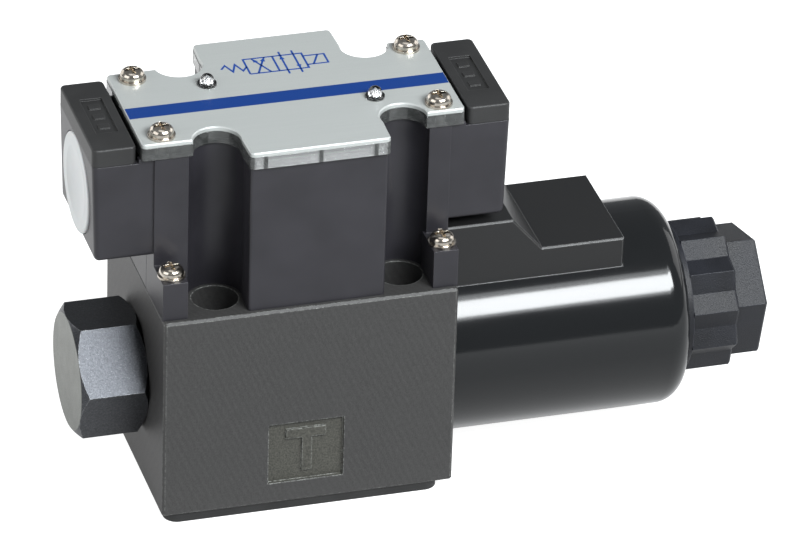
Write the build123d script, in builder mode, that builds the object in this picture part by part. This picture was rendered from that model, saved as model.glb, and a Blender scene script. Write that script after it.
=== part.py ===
from build123d import *
import os

# Solenoid directional valve, size 03 (ISO 4401-03): one solenoid, spring return, central terminal box.
# Frame: origin on the mounting face where the line of ports P and T crosses the line of A and B,
# +X towards the solenoid, -Y towards port T (the front), +Z up. Millimetres.

# Mounting pattern of ISO 4401-03, with port T at the front
BOLT_HOLES = [(-19.0, -16.25), (-19.0, 16.25), (21.5, -15.5), (21.5, 15.5)]
BOLT_HOLE_R = 2.9
BOLT_HEAD_R = 5.0
BOLT_HEAD_DEPTH = 7.5
PORT_R = 3.75
PORT_P = (0.0, 10.4)
PORT_T = (0.0, -10.4)
PORT_A = (8.75, 0.0)
PORT_B = (-8.75, 0.0)
PORTS = [PORT_P, PORT_T, PORT_A, PORT_B]

# Seal plate and port O-rings
SEAL_PLATE_T = 2.0
SEAL_PLATE_X = (-30.9, 29.3)
SEAL_PLATE_Y = 24.0
O_RING_SECTION_R = 0.89
O_RING_MEAN_R = 5.5
O_RING_POCKET_R = 6.45

# Casting
BODY_X = 32.0
BODY_Y = 24.7
BODY_BOTTOM = SEAL_PLATE_T
BODY_TOP = BODY_BOTTOM + 47.7
BODY_EDGE = 0.5
AXIS_Z = BODY_BOTTOM + 23.9
SPOOL_AXIS = Axis((0, 0, AXIS_Z), (1, 0, 0))
BORE_R = 6.0
CHAMBER_R = 9.0
CHAMBER_HALF = 2.0
TANK_CHAMBER_X = 16.5
BORE_LEFT = -22.5
BORE_RIGHT = 22.0
LETTER_RECESS = (-8.9, 7.6, 7.1, 21.6)
LETTER_RECESS_DEPTH = 0.8

# Running fits and stroke
STROKE = 3.0
RUNNING_GAP = 0.03
GUIDE_GAP = 0.05
SPOOL_OFFSET = STROKE / 2

# Spring end
PLUG_HEX_AF = 25.4
PLUG_HEX_TURN = -5.5
PLUG_FACE_X = -46.8
PLUG_CHAMFER_L = 1.5
PLUG_THREAD_R = 10.0
PLUG_BORE_R = 8.0
PLUG_BORE_END = -42.0
PLUG_THREAD_END = -23.3
SPRING_WIRE_HALF = 0.6
SPRING_MEAN_R = 5.6
SPRING_TURNS = 6
SEAT_T = 2.2

# Solenoid end
TUBE_R = 11.3
TUBE_BORE_R = 9.55
POLE_THREAD_R = 11.0
POLE_FACE_X = 54.0
TUBE_START_X = 46.0
TUBE_END_X = 96.0
STUB_R = 7.0
STUB_END_X = 103.5
PIN_R = 2.0
ARMATURE_X = (57.5, 89.5)
OVERRIDE_R = 3.0
OVERRIDE_RING_X = 96.7
COIL_R = 22.6
COIL_BORE_R = 11.5
COIL_X = (32.2, 86.5)
COIL_CAVITY_R = 20.2
COIL_CAVITY_X = (32.2, 83.0)
COIL_END_ROUND = 5.0
WASHER_T = 2.5
CONNECTOR_Y = 14.0
CONNECTOR_HIGH_Z = BODY_BOTTOM + 56.3
CONNECTOR_LOW_Z = BODY_BOTTOM + 48.6
CONNECTOR_SLOPE_X = (47.0, 53.7)
CONNECTOR_END_X = 72.0
CONNECTOR_EDGE = 0.35
CONNECTOR_ROOT_Z = AXIS_Z + (COIL_R ** 2 - CONNECTOR_Y ** 2) ** 0.5
NOSE_X = 29.2
NOSE_Y = 9.2
CONTACT_YS = (-5.0, 0.0, 5.0)
CONTACT_Z = 54.0
CONTACT_X = (24.0, 40.0)
CONTACT_SECTION = (0.8, 4.0)
NUT_COLLAR_X = (88.2, 98.5)
NUT_END_X = 105.5
NUT_RIDGE_R = 16.7
NUT_VALLEY_R = 14.9
NUT_NECK_R = 16.3
NUT_HEX_R = 14.6
NUT_POINTS = 12
NUT_EDGE = 0.45

# Terminal box
BOX_X = 32.05
BOX_Y = 15.2
BOX_TOP = BODY_BOTTOM + 82.2
BOX_WALL = 1.6
BOX_CORNER_R = 0.6
WING_CORNER_R = 1.2
BOX_FLOOR = BODY_TOP + 2.0
BOX_WELL_R = 5.8
COLUMN_X = 1.25
COLUMN_HALF = 14.83
COLUMN_Y = 23.3
WING_TOP_X = 45.15
WING_BOTTOM_X = 44.55
WING_Y = 14.7
WING_BOTTOM = BODY_BOTTOM + 58.7
WING_TOP = BODY_BOTTOM + 81.3
WING_WALL = 2.0
WING_FLOOR = WING_BOTTOM + 1.2
CAVITY_Y = 8.8
LUG_X = 26.7
LUG_TOP = BODY_BOTTOM + 56.5
SOCKET_Y = 9.3
SOCKET_TOP = 58.4
CONDUIT_R = 10.0
CONDUIT_Z = (WING_BOTTOM + WING_TOP) / 2
CONDUIT_RECESS_R = 11.0
CONDUIT_FLANGE_T = 1.3
CONDUIT_PROUD = 0.05
CONDUIT_SKIRT_L = 5.1
CONDUIT_WALL = 1.6
DISH_DEPTH = 0.7
DISH_BALL_R = 45.0
EARTH_SCREW = (19.5, 0.0)
CAP_RIM = 1.2
SEAL_PLAN = (50.0, 15.0)
SEAL_W = 1.3
SEAL_T = 1.1
BOX_SCREWS = [(x, y) for x in (-29.4, 29.4) for y in (-19.8, 19.8)]
COVER_SCREWS = [(x, y) for x in (-29.95, 29.95) for y in (-12.33, 12.33)]

# Cover, nameplate, end caps, lamps
COVER_X = 34.9
COVER_Y = 15.6
COVER_T = 2.8
COVER_WELL_R = 5.0
COVER_CORNER_R = 0.9
COVER_CELLS = [(-13.0, 1.4), (-5.9, 10.8), (5.9, 10.8), (13.0, 1.4)]
CELL_Y = (11.5, 23.1)
CELL_DEPTH = 1.7
PLATE_INSET = 0.1
NAMEPLATE_T = 1.0
COVER_TOP = BOX_TOP + COVER_T
NAMEPLATE_TOP = COVER_TOP + NAMEPLATE_T
TAB_HALF = (15.95, 15.15)
TAB_Y = 24.2
CAP_X = (35.8, 45.15)
CAP_Y = 14.6
CAP_TOP = BODY_BOTTOM + 85.4
LABEL_X = (37.9, 42.6)
LABEL_Y = (-7.4, 7.3)
LABEL_DEPTH = 0.5
BAR_X = (39.0, 41.4)
BAR_YS = (-4.2, 0.0, 4.2)
BAR_HALF = 0.9
LAMPS = [(COLUMN_X - 16.46, 6.62), (COLUMN_X + 16.46, -6.62)]
LAMP_R = 1.5
BOARD_TOP = 80.0
BOARD_T = 1.6

SCREW_R = 1.5
SCREW_HEAD_R = 2.6
SCREW_COLLAR_R = 2.95
SCREW_COLLAR_T = 0.55
SCREW_SIDE_H = 1.35
SCREW_HEAD_H = 2.5
SCREW_FLAT_R = 1.0
SCREW_CROSS = (3.3, 0.85, 1.5)


def block(x0, x1, y0, y1, z0, z1, mode=Mode.ADD):
    """A rectangular block between two corners."""
    with Locations(((x0 + x1) / 2, (y0 + y1) / 2, (z0 + z1) / 2)):
        Box(x1 - x0, y1 - y0, z1 - z0, mode=mode)


def upright(points, radius, z0, z1, mode=Mode.ADD):
    """Vertical round bars or holes at the given plan points."""
    with Locations(*[(x, y, z0) for x, y in points]):
        Cylinder(radius, z1 - z0, align=(Align.CENTER, Align.CENTER, Align.MIN), mode=mode)


def turned(*steps, mode=Mode.ADD):
    """Rings about the spool axis, each from (start, end, inner radius, outer radius)."""
    with BuildSketch(Plane.XZ) as profile:
        for start, end, inner, outer in steps:
            with Locations(((start + end) / 2, AXIS_Z + (inner + outer) / 2)):
                Rectangle(end - start, outer - inner)
    revolve(profile.sketch, axis=SPOOL_AXIS, mode=mode)


def ring_on_axis(x, mean_r, section_r):
    """An O-ring about the spool axis."""
    with Locations((x, 0, AXIS_Z)):
        Torus(mean_r, section_r, rotation=(0, 90, 0))


def plan(half_x, half_y, tab_half, tab_y, well_r, inset=0.0):
    """Plan outline shared by the box, cover and nameplate: body, centre tabs and four bolt wells."""
    Rectangle(2 * (half_x - inset), 2 * (half_y - inset))
    for side in (-1, 1):
        with BuildLine() as tab:
            Polyline(
                (COLUMN_X - tab_half[0] + inset, 0),
                (COLUMN_X - tab_half[1] + inset, side * (tab_y - inset)),
                (COLUMN_X + tab_half[1] - inset, side * (tab_y - inset)),
                (COLUMN_X + tab_half[0] - inset, 0),
                close=True,
            )
        make_face(tab.line.edges())
    with Locations(*BOLT_HOLES):
        Circle(well_r + inset, mode=Mode.SUBTRACT)


def outer_corners(piece, half_x, half_y):
    """Upright edges of a piece at its ends in X or in Y."""
    return [
        edge
        for edge in piece.edges().filter_by(Axis.Z)
        if abs(edge.center().X) > half_x - 0.05 or abs(edge.center().Y) > half_y - 0.05
    ]


def pan_screw(shank):
    """Cross-recessed pan-head screw with a captive washer, seated at Z 0."""
    with BuildPart() as screw:
        with BuildSketch(Plane.XZ):
            with BuildLine():
                Polyline(
                    (0, -shank),
                    (SCREW_R, -shank),
                    (SCREW_R, 0),
                    (SCREW_COLLAR_R, 0),
                    (SCREW_COLLAR_R, SCREW_COLLAR_T),
                    (SCREW_HEAD_R, SCREW_COLLAR_T),
                    (SCREW_HEAD_R, SCREW_SIDE_H),
                )
                ThreePointArc((SCREW_HEAD_R, SCREW_SIDE_H), (2.1, 2.15), (SCREW_FLAT_R, SCREW_HEAD_H))
                Polyline((SCREW_FLAT_R, SCREW_HEAD_H), (0, SCREW_HEAD_H), (0, -shank))
            make_face()
        revolve(axis=Axis.Z)
        with Locations((0, 0, SCREW_HEAD_H)):
            length, width, depth = SCREW_CROSS
            Box(length, width, 2 * depth, mode=Mode.SUBTRACT)
            Box(width, length, 2 * depth, mode=Mode.SUBTRACT)
    return screw.part


def write(name, label):
    """Label a finished piece and write it as its own STEP file."""
    name.part.label = label
    export_step(name.part, "parts/" + label + ".step")


os.makedirs("parts", exist_ok=True)

# ---------------------------------------------------------------- casting and mounting face

with BuildPart() as valve_body:
    block(-BODY_X, BODY_X, -BODY_Y, BODY_Y, BODY_BOTTOM, BODY_TOP)
    chamfer(valve_body.edges(), BODY_EDGE)
    # spool bore, its five annular chambers and the two threaded end cavities
    chambers = [(x, CHAMBER_R) for x in (-TANK_CHAMBER_X, PORT_B[0], 0.0, PORT_A[0], TANK_CHAMBER_X)]
    turned(
        (BORE_LEFT, BORE_RIGHT, 0, BORE_R),
        *[(x - CHAMBER_HALF, x + CHAMBER_HALF, 0, radius) for x, radius in chambers],
        (-BODY_X, BORE_LEFT, 0, PLUG_THREAD_R),
        (-BODY_X, -BODY_X + 2.0, 0, PLUG_THREAD_R + 1.3),
        (BORE_RIGHT, BODY_X, 0, POLE_THREAD_R),
        (BODY_X - 2.0, BODY_X, 0, POLE_THREAD_R + 1.3),
        mode=Mode.SUBTRACT,
    )
    # ports up from the mounting face; T runs along a gallery to both tank chambers
    upright([PORT_A, PORT_B], PORT_R, BODY_BOTTOM, AXIS_Z - BORE_R, Mode.SUBTRACT)
    upright([PORT_P], PORT_R, BODY_BOTTOM, AXIS_Z, Mode.SUBTRACT)
    upright([PORT_T], PORT_R, BODY_BOTTOM, BODY_BOTTOM + 11.5, Mode.SUBTRACT)
    gallery = [(x, -8.6) for x in (-TANK_CHAMBER_X, TANK_CHAMBER_X)]
    upright(gallery, 2.2, BODY_BOTTOM + 9.0, AXIS_Z, Mode.SUBTRACT)
    with Locations((0, -8.6, BODY_BOTTOM + 9.0)):
        Cylinder(2.5, 2 * TANK_CHAMBER_X, rotation=(0, 90, 0), mode=Mode.SUBTRACT)
    upright(PORTS, O_RING_POCKET_R, BODY_BOTTOM, BODY_BOTTOM + 0.3, Mode.SUBTRACT)
    # mounting bolts drop in from the top
    with Locations(*[(x, y, BODY_TOP) for x, y in BOLT_HOLES]):
        CounterBoreHole(BOLT_HOLE_R, BOLT_HEAD_R, BOLT_HEAD_DEPTH)
    # tapped holes for the terminal box screws and a relief at each end of the underside
    upright(BOX_SCREWS, SCREW_R, BODY_TOP - 7.0, BODY_TOP, Mode.SUBTRACT)
    block(-BODY_X, -24.5, -BODY_Y, BODY_Y, BODY_BOTTOM, BODY_BOTTOM + 0.35, Mode.SUBTRACT)
    block(26.5, BODY_X, -BODY_Y, BODY_Y, BODY_BOTTOM, BODY_BOTTOM + 0.35, Mode.SUBTRACT)
    # cast recess on the front with a raised port letter
    left, right, low, high = LETTER_RECESS
    floor_y = -BODY_Y + LETTER_RECESS_DEPTH
    block(left, right, -BODY_Y, floor_y, low, high, Mode.SUBTRACT)
    block(-5.0, 3.7, floor_y - 0.5, floor_y, high - 4.1, high - 1.8)
    block(-1.5, 0.7, floor_y - 0.5, floor_y, low + 2.2, high - 4.1)
write(valve_body, "valve_body")

with BuildPart() as seal_plate:
    with BuildSketch():
        with Locations((sum(SEAL_PLATE_X) / 2, 0)):
            RectangleRounded(SEAL_PLATE_X[1] - SEAL_PLATE_X[0], 2 * SEAL_PLATE_Y, 3.0)
        with Locations(*PORTS):
            Circle(O_RING_POCKET_R, mode=Mode.SUBTRACT)
        with Locations(*BOLT_HOLES):
            Circle(BOLT_HOLE_R, mode=Mode.SUBTRACT)
    extrude(amount=SEAL_PLATE_T)
write(seal_plate, "seal_plate")

with BuildPart() as port_o_rings:
    with Locations(*[(x, y, O_RING_SECTION_R + 0.2) for x, y in PORTS]):
        Torus(O_RING_MEAN_R, O_RING_SECTION_R)
write(port_o_rings, "port_o_rings")

# ---------------------------------------------------------------- spool and spring end

with BuildPart() as spool:
    land_r = BORE_R - RUNNING_GAP
    left_end = BORE_LEFT
    right_end = BORE_RIGHT + 2.0 + SPOOL_OFFSET
    land_b = PORT_B[0] + SPOOL_OFFSET
    land_a = PORT_A[0] + SPOOL_OFFSET
    turned(
        (left_end, right_end, 0, 4.0),
        (left_end, left_end + 6.0, 0, land_r),
        (land_b - 2.5, land_b + 2.5, 0, land_r),
        (land_a - 2.5, land_a + 2.5, 0, land_r),
        (right_end - 6.0, right_end, 0, land_r),
    )
    # pressure-balancing grooves on the end lands
    turned(
        *[(x, x + 0.5, land_r - 0.3, land_r + 1) for x in (left_end + 1.5, left_end + 3.5)],
        *[(x, x + 0.5, land_r - 0.3, land_r + 1) for x in (right_end - 4.5, right_end - 2.5)],
        mode=Mode.SUBTRACT,
    )
write(spool, "spool")

with BuildPart() as spring_seat:
    seat_face = BORE_LEFT - 0.05
    turned(
        (seat_face - SEAT_T, seat_face, 0, 7.4),
        (seat_face - SEAT_T - 3.5, seat_face - SEAT_T, 0, 4.2),
    )
write(spring_seat, "spring_seat")

with BuildPart() as return_spring:
    spring_left = PLUG_BORE_END + SPRING_WIRE_HALF
    spring_right = BORE_LEFT - 0.05 - SEAT_T - SPRING_WIRE_HALF
    with BuildLine() as wire_path:
        Helix(
            (spring_right - spring_left) / SPRING_TURNS,
            spring_right - spring_left,
            SPRING_MEAN_R,
            center=(spring_left, 0, AXIS_Z),
            direction=(1, 0, 0),
        )
    with BuildSketch(Plane(origin=wire_path.line @ 0, x_dir=(0, 0, 1), z_dir=wire_path.line % 0)):
        Rectangle(2 * SPRING_WIRE_HALF, 2 * SPRING_WIRE_HALF)
    sweep(is_frenet=True)
write(return_spring, "return_spring")

with BuildPart() as end_plug:
    hex_length = -BODY_X - PLUG_FACE_X
    corner_r = PLUG_HEX_AF / 3 ** 0.5
    flat_r = PLUG_HEX_AF / 2
    with BuildSketch(Plane.YZ.offset(PLUG_FACE_X)):
        with Locations((0, AXIS_Z)):
            RegularPolygon(corner_r, 6, rotation=PLUG_HEX_TURN)
    extrude(amount=hex_length)
    # a turned cone takes the corners off both ends of the hexagon
    with BuildSketch(Plane.XZ):
        with BuildLine():
            Polyline(
                (PLUG_FACE_X, AXIS_Z),
                (PLUG_FACE_X, AXIS_Z + flat_r - 0.1),
                (PLUG_FACE_X + PLUG_CHAMFER_L, AXIS_Z + corner_r + 0.1),
                (-BODY_X - PLUG_CHAMFER_L, AXIS_Z + corner_r + 0.1),
                (-BODY_X, AXIS_Z + flat_r - 0.1),
                (-BODY_X, AXIS_Z),
                close=True,
            )
        make_face()
    revolve(axis=SPOOL_AXIS, mode=Mode.INTERSECT)
    turned(
        (-BODY_X, -BODY_X + 2.2, 0, 9.2),
        (-BODY_X + 2.2, PLUG_THREAD_END, 0, PLUG_THREAD_R),
    )
    turned((PLUG_BORE_END, PLUG_THREAD_END, 0, PLUG_BORE_R), mode=Mode.SUBTRACT)
write(end_plug, "end_plug")

with BuildPart() as end_plug_o_ring:
    ring_on_axis(-BODY_X + 1.0, PLUG_THREAD_R + 0.25, 0.98)
write(end_plug_o_ring, "end_plug_o_ring")

# ---------------------------------------------------------------- solenoid core

with BuildPart() as pole_piece:
    turned(
        (BORE_RIGHT + 0.3, BODY_X - 2.2, 0, POLE_THREAD_R),
        (BODY_X - 2.2, BODY_X, 0, 10.2),
        (BODY_X, TUBE_START_X, 0, TUBE_R),
        (TUBE_START_X, POLE_FACE_X, 0, TUBE_BORE_R),
    )
    turned(
        (BORE_RIGHT, BORE_RIGHT + 5.0, 0, 7.0),
        (BORE_RIGHT, POLE_FACE_X, 0, PIN_R + GUIDE_GAP),
        (POLE_FACE_X - 1.5, POLE_FACE_X, 0, 5.5),
        mode=Mode.SUBTRACT,
    )
write(pole_piece, "pole_piece")

with BuildPart() as pole_o_ring:
    ring_on_axis(BODY_X - 1.0, POLE_THREAD_R + 0.25, 0.98)
write(pole_o_ring, "pole_o_ring")

with BuildPart() as core_tube:
    turned(
        (TUBE_START_X, TUBE_END_X - 6.0, TUBE_BORE_R, TUBE_R),
        (TUBE_END_X - 6.0, TUBE_END_X - 3.0, 5.0, TUBE_R),
        (TUBE_END_X - 3.0, TUBE_END_X, OVERRIDE_R, TUBE_R),
        (TUBE_END_X, STUB_END_X, OVERRIDE_R, STUB_R),
    )
write(core_tube, "core_tube")

with BuildPart() as armature:
    turned((*ARMATURE_X, 0, TUBE_BORE_R - GUIDE_GAP))
    turned((ARMATURE_X[0], ARMATURE_X[0] + 2.5, 0, PIN_R), mode=Mode.SUBTRACT)
    # two oil passages through its length
    middle = sum(ARMATURE_X) / 2
    with Locations((middle, -5.8, AXIS_Z), (middle, 5.8, AXIS_Z)):
        Cylinder(1.2, ARMATURE_X[1] - ARMATURE_X[0], rotation=(0, 90, 0), mode=Mode.SUBTRACT)
write(armature, "armature")

with BuildPart() as armature_shim:
    turned((ARMATURE_X[0] - 0.3, ARMATURE_X[0], PIN_R, 4.4))
write(armature_shim, "armature_shim")

with BuildPart() as push_pin:
    turned((BORE_RIGHT + 2.0 + SPOOL_OFFSET + 0.1, ARMATURE_X[0] + 2.5, 0, PIN_R))
write(push_pin, "push_pin")

with BuildPart() as override_pin:
    pin_left = ARMATURE_X[1] + 0.3
    turned(
        (pin_left, pin_left + 1.5, 0, 4.5),
        (pin_left + 1.5, STUB_END_X - 1.0, 0, OVERRIDE_R - GUIDE_GAP),
    )
    turned((OVERRIDE_RING_X - 0.7, OVERRIDE_RING_X + 0.7, 2.0, 4.0), mode=Mode.SUBTRACT)
write(override_pin, "override_pin")

with BuildPart() as override_o_ring:
    ring_on_axis(OVERRIDE_RING_X, 2.45, 0.45)
write(override_o_ring, "override_o_ring")

# ---------------------------------------------------------------- coil and its nut

with BuildPart() as coil_housing:
    turned((*COIL_X, 0, COIL_R))
    fillet(coil_housing.edges().filter_by(GeomType.CIRCLE).group_by(Axis.X)[-1], COIL_END_ROUND)
    # connector block on top: high beside the box, then a slope down to the coil
    with BuildSketch(Plane.XZ.offset(-CONNECTOR_Y)):
        with BuildLine():
            Polyline(
                (COIL_X[0], AXIS_Z),
                (COIL_X[0], CONNECTOR_HIGH_Z),
                (CONNECTOR_SLOPE_X[0], CONNECTOR_HIGH_Z),
                (CONNECTOR_SLOPE_X[1], CONNECTOR_LOW_Z),
                (CONNECTOR_END_X, CONNECTOR_LOW_Z),
                (CONNECTOR_END_X, AXIS_Z),
                close=True,
            )
        make_face()
    extrude(amount=2 * CONNECTOR_Y)
    sides = coil_housing.faces().filter_by(Axis.Y)
    rims = sides.edges().filter_by(lambda edge: edge.center().Z > CONNECTOR_ROOT_Z + 1)
    chamfer(rims, CONNECTOR_EDGE)
    turned((*COIL_CAVITY_X, 0, COIL_CAVITY_R), mode=Mode.SUBTRACT)
    turned((*COIL_X, 0, COIL_BORE_R), mode=Mode.SUBTRACT)
    # nose that plugs into the terminal box, with slots for the three contacts
    block(NOSE_X, COIL_X[0], -NOSE_Y, NOSE_Y, BODY_TOP + 0.2, CONNECTOR_HIGH_Z - 0.1)
    with Locations(*[((NOSE_X + CONTACT_X[1]) / 2, y, CONTACT_Z) for y in CONTACT_YS]):
        Box(CONTACT_X[1] - NOSE_X, *CONTACT_SECTION, mode=Mode.SUBTRACT)
write(coil_housing, "coil_housing")

with BuildPart() as coil_contacts:
    with Locations(*[(sum(CONTACT_X) / 2, y, CONTACT_Z) for y in CONTACT_YS]):
        Box(CONTACT_X[1] - CONTACT_X[0], *CONTACT_SECTION)
write(coil_contacts, "coil_contacts")

with BuildPart() as flux_washers:
    for start in (COIL_CAVITY_X[0] + 0.3, COIL_CAVITY_X[1] - WASHER_T):
        turned((start, start + WASHER_T, COIL_BORE_R, COIL_CAVITY_R))
write(flux_washers, "flux_washers")

WINDOW = (COIL_CAVITY_X[0] + 0.3 + WASHER_T, COIL_CAVITY_X[1] - WASHER_T)

with BuildPart() as flux_sleeve:
    turned((*WINDOW, COIL_CAVITY_R - 1.0, COIL_CAVITY_R))
write(flux_sleeve, "flux_sleeve")

with BuildPart() as coil_bobbin:
    turned(
        (*WINDOW, COIL_BORE_R, COIL_BORE_R + 1.1),
        (WINDOW[0], WINDOW[0] + 2.0, COIL_BORE_R, COIL_CAVITY_R - 1.0),
        (WINDOW[1] - 2.0, WINDOW[1], COIL_BORE_R, COIL_CAVITY_R - 1.0),
    )
write(coil_bobbin, "coil_bobbin")

with BuildPart() as coil_winding:
    turned((WINDOW[0] + 2.0, WINDOW[1] - 2.0, COIL_BORE_R + 1.1, COIL_CAVITY_R - 1.6))
write(coil_winding, "coil_winding")

with BuildPart() as coil_nut:
    turned((COIL_X[1], NUT_COLLAR_X[0], 0, NUT_NECK_R))
    # grip collar: a star of ridges and shallow valleys
    with BuildSketch(Plane.YZ.offset(NUT_COLLAR_X[0])):
        with BuildLine():
            star = []
            for index in range(NUT_POINTS):
                star.append(Vector(NUT_VALLEY_R, 0).rotate(Axis.Z, 360 * index / NUT_POINTS))
                star.append(Vector(NUT_RIDGE_R, 0).rotate(Axis.Z, 360 * (index + 0.5) / NUT_POINTS))
            Polyline(*[(point.X, AXIS_Z + point.Y) for point in star], close=True)
        make_face()
    extrude(amount=NUT_COLLAR_X[1] - NUT_COLLAR_X[0])
    chamfer(coil_nut.faces().sort_by(Axis.X)[-1].edges(), NUT_EDGE)
    with BuildSketch(Plane.YZ.offset(NUT_COLLAR_X[1])):
        with Locations((0, AXIS_Z)):
            RegularPolygon(NUT_HEX_R, 6, rotation=45)
    extrude(amount=NUT_END_X - NUT_COLLAR_X[1])
    chamfer(coil_nut.faces().sort_by(Axis.X)[-1].edges(), NUT_EDGE)
    turned(
        (COIL_X[1], TUBE_END_X + 0.2, 0, TUBE_R + 0.1),
        (COIL_X[1], COIL_X[1] + 1.8, 0, 13.6),
        (TUBE_END_X, STUB_END_X, 0, STUB_R),
        (STUB_END_X, NUT_END_X, 0, 4.5),
        mode=Mode.SUBTRACT,
    )
write(coil_nut, "coil_nut")

with BuildPart() as nut_o_ring:
    ring_on_axis(COIL_X[1] + 0.9, 12.6, 0.88)
write(nut_o_ring, "nut_o_ring")

# ---------------------------------------------------------------- terminal box

with BuildPart() as terminal_box:
    with BuildSketch(Plane.XY.offset(BODY_TOP)):
        plan(BOX_X, BOX_Y, (COLUMN_HALF, COLUMN_HALF), COLUMN_Y, BOX_WELL_R)
    extrude(amount=BOX_TOP - BODY_TOP)
    # only the column's corners: nothing reaches the wing ends yet
    fillet(outer_corners(terminal_box, WING_TOP_X, COLUMN_Y), BOX_CORNER_R)
    # wings that carry the conduit entries, with a little mould draft on their ends
    for side in (-1, 1):
        with BuildSketch(Plane.XZ.offset(-WING_Y)):
            with BuildLine():
                Polyline(
                    (side * (BOX_X - 1), WING_BOTTOM),
                    (side * WING_BOTTOM_X, WING_BOTTOM),
                    (side * WING_TOP_X, WING_TOP),
                    (side * (CAP_X[0] - 0.5), WING_TOP),
                    (side * (CAP_X[0] - 0.5), BOX_TOP),
                    (side * (BOX_X - 1), BOX_TOP),
                    close=True,
                )
            make_face()
        extrude(amount=2 * WING_Y)
        wing_end = terminal_box.faces().sort_by(Axis.X)[0 if side < 0 else -1]
        upright_edges = [edge for edge in wing_end.edges() if edge.bounding_box().size.Y < 0.01]
        fillet(upright_edges, WING_CORNER_R)
        underside = terminal_box.faces().sort_by(Axis.X)[0 if side < 0 else -1].edges().sort_by(Axis.Z)[0]
        fillet(underside, WING_CORNER_R)
        # fastening lugs on the casting
        for front in (-1, 1):
            xs = sorted((side * LUG_X, side * BOX_X))
            ys = sorted((front * (BOX_Y - 1), front * COLUMN_Y))
            block(*xs, *ys, BODY_TOP, LUG_TOP)
    # inside: main cavity, column cavity and wing cavities
    block(-BOX_X + 2, BOX_X - 2, -CAVITY_Y, CAVITY_Y, BOX_FLOOR, BOX_TOP, Mode.SUBTRACT)
    column = (COLUMN_X - COLUMN_HALF + BOX_WALL, COLUMN_X + COLUMN_HALF - BOX_WALL)
    block(*column, -COLUMN_Y + BOX_WALL, COLUMN_Y - BOX_WALL, BOX_FLOOR, BOX_TOP, Mode.SUBTRACT)
    for side in (-1, 1):
        inner = sorted((side * (BOX_X - 3), side * (WING_BOTTOM_X - WING_WALL)))
        block(*inner, -CAVITY_Y, CAVITY_Y, WING_FLOOR, BOX_TOP, Mode.SUBTRACT)
        outer = sorted((side * (BOX_X + 1.5), side * (WING_BOTTOM_X - WING_WALL)))
        block(*outer, -WING_Y + BOX_WALL, WING_Y - BOX_WALL, WING_FLOOR, BOX_TOP, Mode.SUBTRACT)
        # conduit entry through the wing's end, and the electrical socket opening below it
        with Locations((side * WING_TOP_X, 0, CONDUIT_Z)):
            Cylinder(CONDUIT_R, 8, rotation=(0, 90, 0), mode=Mode.SUBTRACT)
        socket = sorted((side * (BOX_X - 3), side * BOX_X))
        block(*socket, -SOCKET_Y, SOCKET_Y, BODY_TOP, SOCKET_TOP, Mode.SUBTRACT)
    with Locations((-WING_TOP_X, 0, CONDUIT_Z)):
        Cylinder(CONDUIT_RECESS_R, 2 * CONDUIT_FLANGE_T, rotation=(0, 90, 0), mode=Mode.SUBTRACT)
    # pillars for the circuit board
    pillars = [(x, y) for x in (-9.0, 11.5) for y in (-19.0, 19.0)]
    upright(pillars, 2.2, BOX_FLOOR, BOARD_TOP - BOARD_T)
    upright(pillars, 1.0, BOARD_TOP - 8.0, BOARD_TOP - BOARD_T, Mode.SUBTRACT)
    # seal groove under the floor, screw holes
    with BuildSketch(Plane.XY.offset(BODY_TOP)):
        Rectangle(*SEAL_PLAN)
        Rectangle(SEAL_PLAN[0] - 2 * SEAL_W, SEAL_PLAN[1] - 2 * SEAL_W, mode=Mode.SUBTRACT)
    extrude(amount=SEAL_T, mode=Mode.SUBTRACT)
    upright(BOX_SCREWS, SCREW_R, BODY_TOP, LUG_TOP, Mode.SUBTRACT)
    upright(COVER_SCREWS, SCREW_R, BOX_TOP - 8.0, BOX_TOP, Mode.SUBTRACT)
    with Locations((*EARTH_SCREW, BOX_FLOOR)):
        Cylinder(1.5, 3.0, mode=Mode.SUBTRACT)
write(terminal_box, "terminal_box")

with BuildPart() as box_seal:
    with BuildSketch(Plane.XY.offset(BODY_TOP)):
        Rectangle(*SEAL_PLAN)
        Rectangle(SEAL_PLAN[0] - 2 * SEAL_W, SEAL_PLAN[1] - 2 * SEAL_W, mode=Mode.SUBTRACT)
    extrude(amount=SEAL_T)
write(box_seal, "box_seal")

box_screw = pan_screw(LUG_TOP - BODY_TOP + 6.5)
with BuildPart() as box_screws:
    with Locations(*[(x, y, LUG_TOP) for x, y in BOX_SCREWS]):
        add(box_screw)
write(box_screws, "box_screws")

with BuildPart() as socket_blank:
    block(-BOX_X, -BOX_X + 2.0, -SOCKET_Y + 0.08, SOCKET_Y - 0.08, BODY_TOP, SOCKET_TOP)
    block(-BOX_X + 2.0, -BOX_X + 3.5, -SOCKET_Y + 1, SOCKET_Y - 1, BOX_FLOOR + 0.1, SOCKET_TOP - 1)
    chamfer(socket_blank.faces().sort_by(Axis.X)[0].edges(), 0.2)
write(socket_blank, "socket_blank")

with BuildPart() as conduit_plug:
    face_x = -WING_TOP_X - CONDUIT_PROUD
    with Locations((face_x + CONDUIT_FLANGE_T / 2, 0, CONDUIT_Z)):
        Cylinder(CONDUIT_RECESS_R - 0.12, CONDUIT_FLANGE_T, rotation=(0, 90, 0))
    with Locations((face_x + CONDUIT_FLANGE_T + CONDUIT_SKIRT_L / 2, 0, CONDUIT_Z)):
        Cylinder(CONDUIT_R, CONDUIT_SKIRT_L, rotation=(0, 90, 0))
        Cylinder(CONDUIT_R - CONDUIT_WALL, CONDUIT_SKIRT_L, rotation=(0, 90, 0), mode=Mode.SUBTRACT)
    rim = conduit_plug.edges().filter_by(GeomType.CIRCLE).group_by(Axis.X)[0]
    fillet(rim, 0.35)
    # shallow dish in the middle of its face
    with Locations((face_x + DISH_DEPTH - DISH_BALL_R, 0, CONDUIT_Z)):
        Sphere(DISH_BALL_R, mode=Mode.SUBTRACT)
write(conduit_plug, "conduit_plug")

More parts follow.
